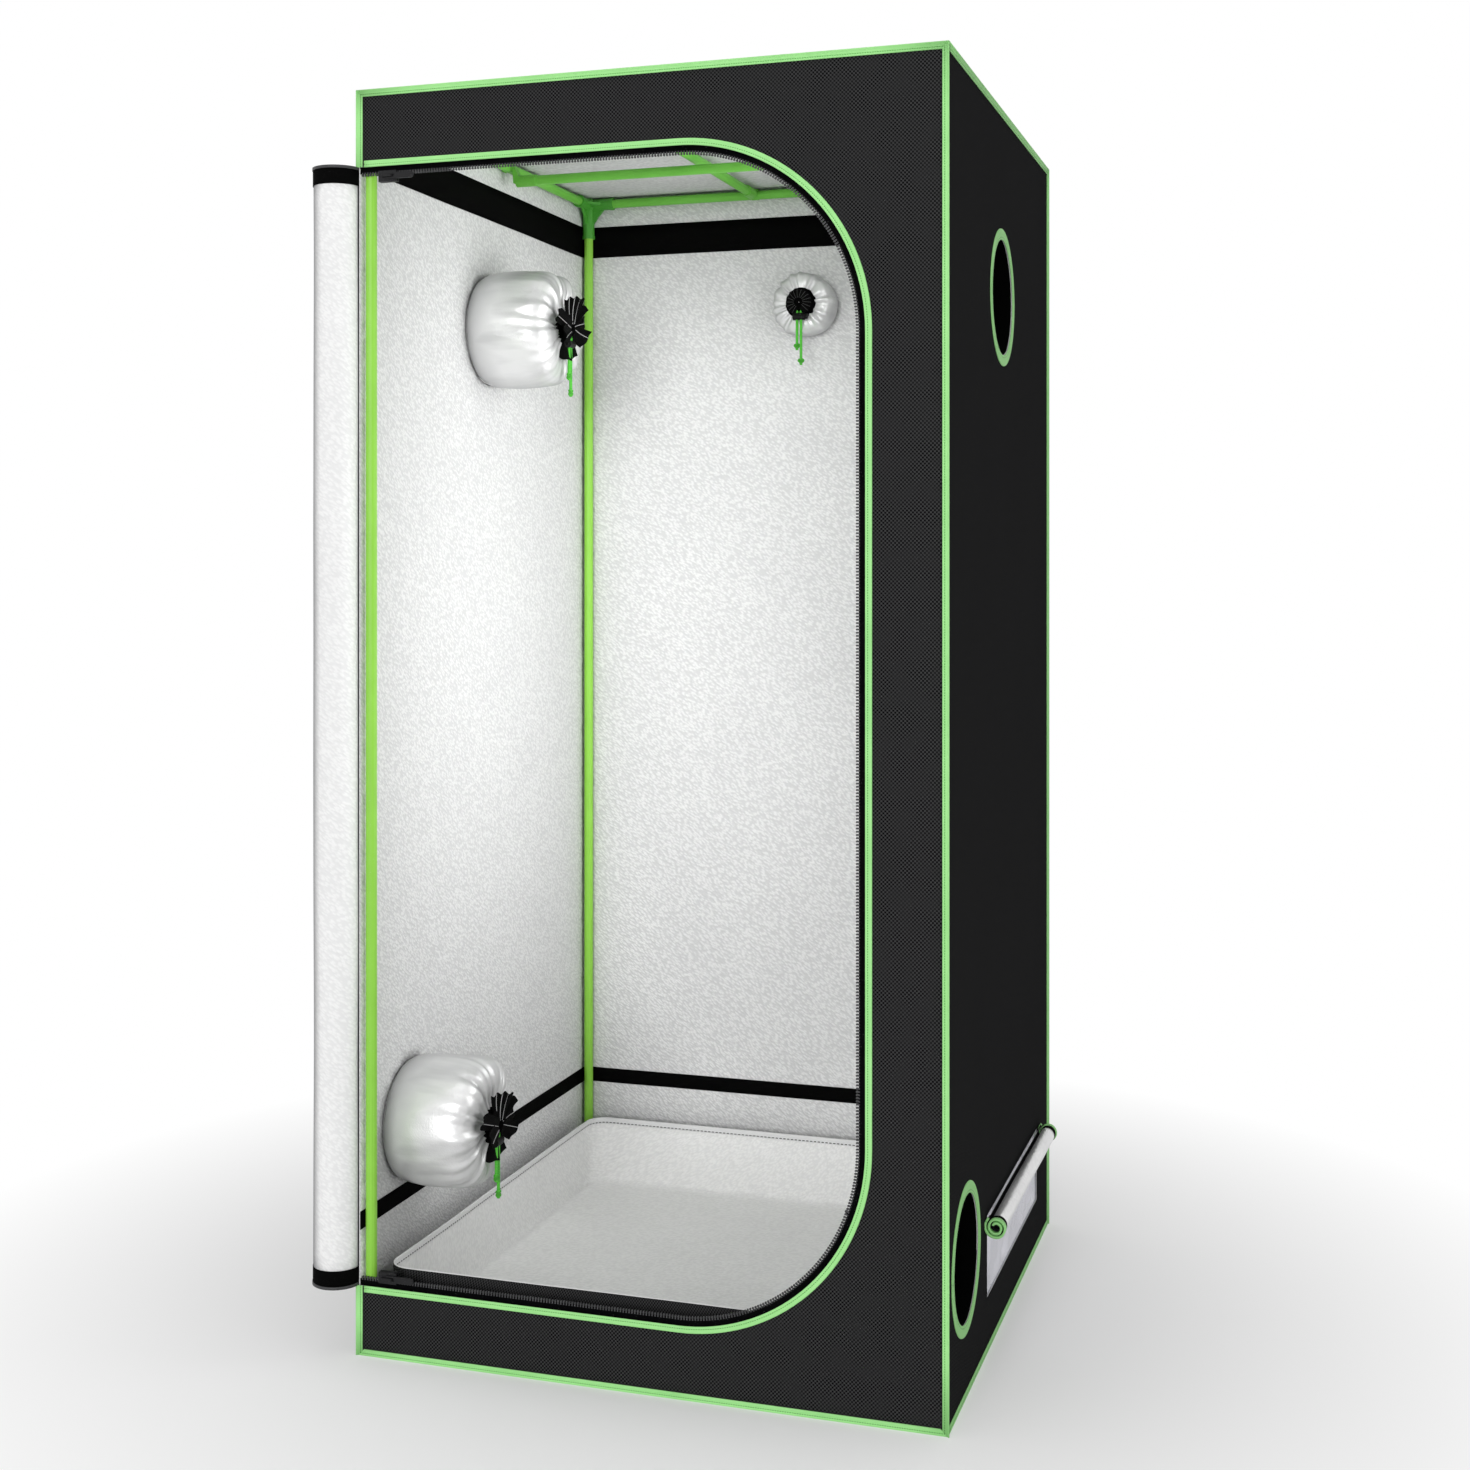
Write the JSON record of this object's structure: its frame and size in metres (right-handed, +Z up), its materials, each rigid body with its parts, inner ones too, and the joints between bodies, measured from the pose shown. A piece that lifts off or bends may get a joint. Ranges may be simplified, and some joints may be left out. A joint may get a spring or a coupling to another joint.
{
  "type": "indoor grow tent",
  "caption": "Tall indoor grow tent: sewn cover over a tube frame, door rolled open at one side, floor tray, hanging bars, vent flap, and round duct ports with drawn sleeves and cord locks.",
  "frame": {"origin": "middle of the floor cloth's underside, which rests on the ground", "axes": "+Z up, -Y towards the front with the door, +X towards the wall with the vent"},
  "size_m": [0.951, 0.8816, 1.8],
  "materials": {
    "shell_cloth": "black woven cloth outside, silver film lining inside",
    "lining_cloth": "silver film lining, pebbled",
    "binding_tape": "bright green woven binding tape",
    "zipper_plastic": "black zipper tape and teeth",
    "zipper_metal": "dark painted cast metal",
    "post_paint": "light green paint, satin",
    "tube_paint": "green paint, satin",
    "connector_plastic": "dark green moulded plastic",
    "net_thread": "white fine net",
    "cord_braid": "bright green round cord",
    "lock_plastic": "black moulded plastic"
  },
  "bodies": {
    "tent": {"front_panel": "shell_cloth", "left_wall": "shell_cloth", "right_wall": "shell_cloth", "back_wall": "shell_cloth", "roof_panel": "shell_cloth", "floor_panel": "shell_cloth", "floor_tray": "lining_cloth", "sleeve_upper_left": "lining_cloth", "sleeve_lower_left": "lining_cloth", "sleeve_upper_right": "lining_cloth", "sleeve_lower_right": "lining_cloth", "sleeve_upper_back": "lining_cloth", "edge_binding": "binding_tape", "door_binding": "binding_tape", "port_ring_upper_left": "binding_tape", "port_ring_lower_left": "binding_tape", "port_ring_upper_right": "binding_tape", "port_ring_lower_right": "binding_tape", "port_ring_upper_back": "binding_tape", "zip_tape": "zipper_plastic", "post_front_left": "post_paint", "post_front_right": "post_paint", "post_back_left": "post_paint", "post_back_right": "post_paint", "bottom_tube_front": "tube_paint", "bottom_tube_back": "tube_paint", "bottom_tube_left": "tube_paint", "bottom_tube_right": "tube_paint", "top_tube_front": "tube_paint", "top_tube_back": "tube_paint", "top_tube_left": "tube_paint", "top_tube_right": "tube_paint", "connector_bottom_front_left": "connector_plastic", "connector_bottom_front_right": "connector_plastic", "connector_bottom_back_left": "connector_plastic", "connector_bottom_back_right": "connector_plastic", "connector_top_front_left": "connector_plastic", "connector_top_front_right": "connector_plastic", "connector_top_back_left": "connector_plastic", "connector_top_back_right": "connector_plastic", "vent_net": "net_thread", "drawstring_upper_left": "cord_braid", "drawstring_lower_left": "cord_braid", "drawstring_upper_right": "cord_braid", "drawstring_lower_right": "cord_braid", "drawstring_upper_back": "cord_braid"},
    "rolled_door": {"door_roll": "lining_cloth"},
    "rolled_vent_flap": {"vent_flap_roll": "lining_cloth"},
    "cross_bar": {"cross_bar": "tube_paint"},
    "long_bar": {"long_bar": "tube_paint"},
    "zip_slider_upper": {"zip_slider_upper": "zipper_metal"},
    "zip_slider_lower": {"zip_slider_lower": "zipper_metal"},
    "zip_pull_upper": {"zip_pull_upper": "zipper_metal"},
    "zip_pull_lower": {"zip_pull_lower": "zipper_metal"},
    "cord_lock_upper_left": {"cord_lock_upper_left": "lock_plastic"},
    "cord_lock_lower_left": {"cord_lock_lower_left": "lock_plastic"},
    "cord_lock_upper_right": {"cord_lock_upper_right": "lock_plastic"},
    "cord_lock_lower_right": {"cord_lock_lower_right": "lock_plastic"},
    "cord_lock_upper_back": {"cord_lock_upper_back": "lock_plastic"}
  },
  "joints": [
    {"name": "door_roll_swing", "type": "hinge", "parent": "tent", "child": "rolled_door", "pos_m": [-0.427, -0.427, 0.9], "axis": [0, 0, 1], "range_deg": [0, 90]},
    {"name": "vent_flap_lift", "type": "hinge", "parent": "tent", "child": "rolled_vent_flap", "pos_m": [0.4255, 0.083, 0.202], "axis": [0, -1, 0], "range_deg": [0, 80]},
    {"name": "cross_bar_slide", "type": "slide", "parent": "tent", "child": "cross_bar", "axis": [0, 1, 0], "range_m": [-0.412, 0.292]},
    {"name": "long_bar_slide", "type": "slide", "parent": "tent", "child": "long_bar", "axis": [1, 0, 0], "range_m": [-0.258, 0.446]},
    {"name": "zip_slider_upper_slide", "type": "slide", "parent": "tent", "child": "zip_slider_upper", "axis": [1, 0, 0], "range_m": [0, 0.41]},
    {"name": "zip_pull_upper_swing", "type": "hinge", "parent": "zip_slider_upper", "child": "zip_pull_upper", "pos_m": [-0.379, -0.4292, 1.6767], "axis": [0, 0, -1], "range_deg": [0, 110]},
    {"name": "zip_slider_lower_slide", "type": "slide", "parent": "tent", "child": "zip_slider_lower", "axis": [1, 0, 0], "range_m": [0, 0.41]},
    {"name": "zip_pull_lower_swing", "type": "hinge", "parent": "zip_slider_lower", "child": "zip_pull_lower", "pos_m": [-0.379, -0.4292, 0.1143], "axis": [0, 0, -1], "range_deg": [0, 110]},
    {"name": "cord_lock_upper_left_slide", "type": "slide", "parent": "tent", "child": "cord_lock_upper_left", "axis": [0, 0, -1], "range_m": [0, 0.035]},
    {"name": "cord_lock_lower_left_slide", "type": "slide", "parent": "tent", "child": "cord_lock_lower_left", "axis": [0, 0, -1], "range_m": [0, 0.035]},
    {"name": "cord_lock_upper_right_slide", "type": "slide", "parent": "tent", "child": "cord_lock_upper_right", "axis": [0, 0, -1], "range_m": [0, 0.035]},
    {"name": "cord_lock_lower_right_slide", "type": "slide", "parent": "tent", "child": "cord_lock_lower_right", "axis": [0, 0, -1], "range_m": [0, 0.035]},
    {"name": "cord_lock_upper_back_slide", "type": "slide", "parent": "tent", "child": "cord_lock_upper_back", "axis": [0, 0, -1], "range_m": [0, 0.035]}
  ]
}
